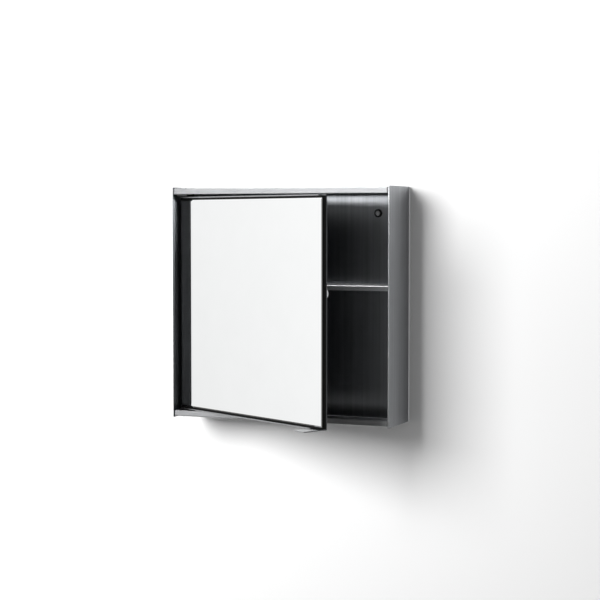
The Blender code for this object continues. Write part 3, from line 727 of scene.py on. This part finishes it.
low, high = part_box("door_back_plate")
door_bottom, door_top = low[2], high[2]
door_left = pivot.x - PIVOT_INSET
door_right = door_left + DOOR_WIDTH
pan = block("door_pan", (door_left, DOOR_FRONT, door_bottom), (door_right, PAN_BACK, door_top))
pick(pan, "FACE", lambda m, n: n.y < -0.9 or abs(n.x) > 0.9)
bpy.ops.mesh.delete(type="FACE")
bpy.ops.object.mode_set(mode="OBJECT")
bend(pan, lambda m, d: abs(d.x) > 0.9 and m.y > PAN_BACK - TOUCH, FOLD_RADIUS, 5)
apply_modifier(pan, "SOLIDIFY", thickness=SHEET, offset=-1, use_even_offset=True, use_quality_normals=True)
split(pan, (door_right - PULL_WIDTH, 0, 0), (1, 0, 0))
pull(pan,
     lambda m, n: n.y < -0.9 and m.z < door_bottom + SHEET and m.x > door_right - PULL_WIDTH,
     (0, -PULL_REACH, 0))
bend(pan, lambda m, d: m.y < DOOR_FRONT - PULL_REACH + TOUCH and abs(d.z) > 0.9, PULL_CORNER)
notch = block("notch", (door_right - FLANGE_NOTCH, DOOR_FRONT - OVERSHOOT, door_top - SHEET - 0.0002),
              (door_right + OVERSHOOT, PAN_BACK - FOLD_RADIUS - SHEET, door_top + OVERSHOOT))
apply_modifier(pan, "BOOLEAN", operation="DIFFERENCE", solver="EXACT", object=notch)
bpy.data.objects.remove(notch, do_unlink=True)
drill(pan, [(pivot.x, pivot.y, door_top), (pivot.x, pivot.y, door_bottom)], (0, 0, 1), BUSH_HOLE,
      SHEET_HOLE_LENGTH)
drill(pan, [(door_right - CATCH_PLACE, PAN_BACK, CATCH_HEIGHT)], (0, 1, 0), CATCH_HOLE, SHEET_HOLE_LENGTH)
soften(pan, 0.0002)
painted_highlight_fold_steel = brushed_steel("brushed_stainless_fold_painted_highlight", "B4B5B7", UPRIGHT_GRAIN)
# The darker tone on the sheet is painted shade; the lighter one on the folds and pull is a painted
# highlight.
pan.data.materials.append(painted_shade_steel)
pan.data.materials.append(painted_highlight_fold_steel)
for face in pan.data.polygons:
    folded = face.center.y < PAN_BACK - SHEET - 10 * TOUCH and abs(face.normal.x) < 0.5
    face.material_index = 1 if folded else 0
swing_open(pan)
hand_over(pan, None, "door_back_plate", "door")

# ---- Door core
# A black board behind the glass, with a low rim above and below it that frames the mirror.
CORE_FACE = -0.0817
CORE_BACK = -0.0773
RIM_FRONT = -0.0857
RIM_HEIGHT = 0.003
CORE_CLEARANCE = 0.0018
PIN_DEPTH = 0.0023
CATCH_SCREW_DEPTH = 0.0038

# High-pressure laminate, black all through, with a faint grain half a millimetre across.
black_board, shader = mottled(
    "black_laminate_board", "060606", 0, 0.5, 0.0005, 3.0, ("030303", "0A0A0A"), relief=(0.15, 0.00005))
shader.inputs["Specular IOR Level"].default_value = 0.12

core_bottom, core_top = door_bottom + CORE_CLEARANCE, door_top - CORE_CLEARANCE
core = block("door_board", (door_left, CORE_FACE, core_bottom), (door_right, CORE_BACK, core_top))
split(core, (0, 0, core_top - RIM_HEIGHT), (0, 0, 1))
split(core, (0, 0, core_bottom + RIM_HEIGHT), (0, 0, 1))
pull(core,
     lambda m, n: n.y < -0.9 and (m.z > core_top - RIM_HEIGHT or m.z < core_bottom + RIM_HEIGHT),
     (0, RIM_FRONT - CORE_FACE, 0))
soften(core, 0.0003)
drill(core, [(pivot.x, pivot.y, core_top), (pivot.x, pivot.y, core_bottom)], (0, 0, 1), PIN_HOLE,
      2 * PIN_DEPTH)
drill(core, [(door_right - CATCH_PLACE, CORE_BACK, CATCH_HEIGHT)], (0, 1, 0), CATCH_HOLE,
      2 * CATCH_SCREW_DEPTH)
swing_open(core)
hand_over(core, black_board, "door_core", "door")

# ---- Mirror
# Four-millimetre silvered float glass with a shallow polished bevel round its face. The cut edges
# and the back are sealed with black lacquer.
GLASS_BACK = -0.0820
BEVEL_WIDTH = 0.002
BEVEL_DEPTH = 0.0005
GLASS_CLEARANCE = 0.0003

# Silver behind clear glass is a clean mirror; wiping leaves a haze too faint to see face on.
silvered_glass, tree, shader = new_material("silvered_float_glass", "F6F7F7", 1, 0.0)
place = add_node(tree, "ShaderNodeTexCoord")
haze = add_node(tree, "ShaderNodeTexNoise", None, Vector=place.outputs["Object"], Scale=1 / 0.05, Detail=4.0)
wiped = add_node(tree, "ShaderNodeMapRange", None, Value=haze.outputs[0],
                 From_Min=0.45, From_Max=0.75, To_Min=0.0, To_Max=0.03)
tree.links.new(wiped.outputs[0], shader.inputs["Roughness"])
tint = add_node(tree, "ShaderNodeMix", {"data_type": "RGBA"}, i0=haze.outputs[0],
                i6=(*linear("F8F9F9"), 1), i7=(*linear("F4F5F5"), 1))
tree.links.new(tint.outputs[2], shader.inputs["Base Color"])

# Brushed-on lacquer: black, with a soft gloss that varies over a centimetre.
edge_lacquer, shader = mottled("black_edge_lacquer", "030303", 0, 0.35, 0.01, 2.0, gloss=(0.4, 0.6))
shader.inputs["Specular IOR Level"].default_value = 0.08

glass = block("mirror_pane",
              (door_left, DOOR_FRONT + BEVEL_DEPTH, core_bottom + RIM_HEIGHT + GLASS_CLEARANCE),
              (door_right, GLASS_BACK, core_top - RIM_HEIGHT - GLASS_CLEARANCE))
pick(glass, "FACE", lambda m, n: n.y < -0.9)
bpy.ops.mesh.inset(thickness=BEVEL_WIDTH, depth=BEVEL_DEPTH)
bpy.ops.object.mode_set(mode="OBJECT")
soften(glass, 0.00015)
glass.data.materials.append(silvered_glass)
glass.data.materials.append(edge_lacquer)
for face in glass.data.polygons:
    face.material_index = 0 if face.normal.y < -0.9 else 1
swing_open(glass)
hand_over(glass, None, "mirror_glass", "door", 5)

# ---- Bushes
# Collared acetal sleeves in the door's two folds; the collars keep the door off its blocks.
BUSH_BARREL = 0.003
COLLAR_RISE = 0.0008

low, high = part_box("hinge_bush_upper")
radius, length = (high[0] - low[0]) / 2, high[2] - low[2]
collar = length - COLLAR_RISE
bush = turned("bush_pattern", [
    (BUSH_BARREL, 0), (BUSH_BARREL, collar), (radius * 0.96, collar), (radius, collar + 0.00015),
    (radius, length - 0.0002), (radius * 0.96, length)])
drill(bush, [(0, 0, length / 2)], (0, 0, 1), BUSH_BORE, 4 * length)
for level, way in (("upper", 1), ("lower", -1)):
    low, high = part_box(f"hinge_bush_{level}")
    one = copy_of(bush, f"pivot_bush_{level}")
    aim(one, (pivot.x, pivot.y, low[2] if way > 0 else high[2]), (0, 0, way))
    hand_over(one, black_acetal, f"hinge_bush_{level}", "door")
bpy.data.objects.remove(bush, do_unlink=True)

# ---- Magnet catch
# A plated steel pot with a ferrite ring in it, screwed to the door's back; it pulls on the shelf's
# front edge when the door is shut.
CATCH_RADIUS = 0.0075
CATCH_RISE = 0.0048
POT_WALL = 0.001
CATCH_GAP = 0.0003
CATCH_HEAD = 0.0026
SCREW_BITE = 0.0035

# Sintered ferrite is a matt charcoal ceramic with grains that show as fine lighter specks.
ferrite, shader = mottled(
    "sintered_ferrite", "2E2E30", 0, 0.55, 0.0004, 3.0, ("1E1E20", "48484A"), relief=(0.3, 0.00005))

catch = (door_right - CATCH_PLACE, PAN_BACK + CATCH_GAP, CATCH_HEIGHT)
pot = turned("magnet_cup", [
    (CATCH_RADIUS - 0.0004, 0), (CATCH_RADIUS, 0.0004), (CATCH_RADIUS, CATCH_RISE - 0.0003),
    (CATCH_RADIUS - 0.0003, CATCH_RISE), (CATCH_RADIUS - POT_WALL, CATCH_RISE),
    (CATCH_RADIUS - POT_WALL, POT_WALL)], 48)
drill(pot, [(0, 0, 0)], (0, 0, 1), CATCH_HOLE, SHEET_HOLE_LENGTH)
aim(pot, catch, (0, 1, 0))
swing_open(pot)
hand_over(pot, zinc_steel, "magnet_pot", "door")

ring_foot = POT_WALL + CATCH_GAP
ring_radius = CATCH_RADIUS - POT_WALL - CATCH_GAP
ring_rise = CATCH_RISE - POT_WALL - 2 * CATCH_GAP
ring = turned("ferrite_ring", [
    (ring_radius, 0), (ring_radius, ring_rise - 0.0002), (ring_radius - 0.0002, ring_rise)], 48)
drill(ring, [(0, 0, ring_rise / 2)], (0, 0, 1), CATCH_HEAD + CATCH_GAP, 4 * ring_rise)
aim(ring, (catch[0], catch[1] + ring_foot, catch[2]), (0, 1, 0))
swing_open(ring)
hand_over(ring, ferrite, "magnet_ring", "door")

screw_tip = CORE_BACK - SCREW_BITE
reach = catch[1] + ring_foot - screw_tip
screw = turned("magnet_fixing", [
    (0.0009, 0), (0.0015, 0.0006), (0.0015, reach), (CATCH_HEAD, reach), (CATCH_HEAD, reach + 0.0006),
    (CATCH_HEAD * 0.9, reach + 0.00095), (CATCH_HEAD * 0.68, reach + 0.0012),
    (CATCH_HEAD * 0.5, reach + 0.0012), (CATCH_HEAD * 0.45, reach + 0.0005)])
aim(screw, (catch[0], screw_tip, catch[2]), (0, 1, 0))
swing_open(screw)
hand_over(screw, zinc_steel, "magnet_screw", "door")
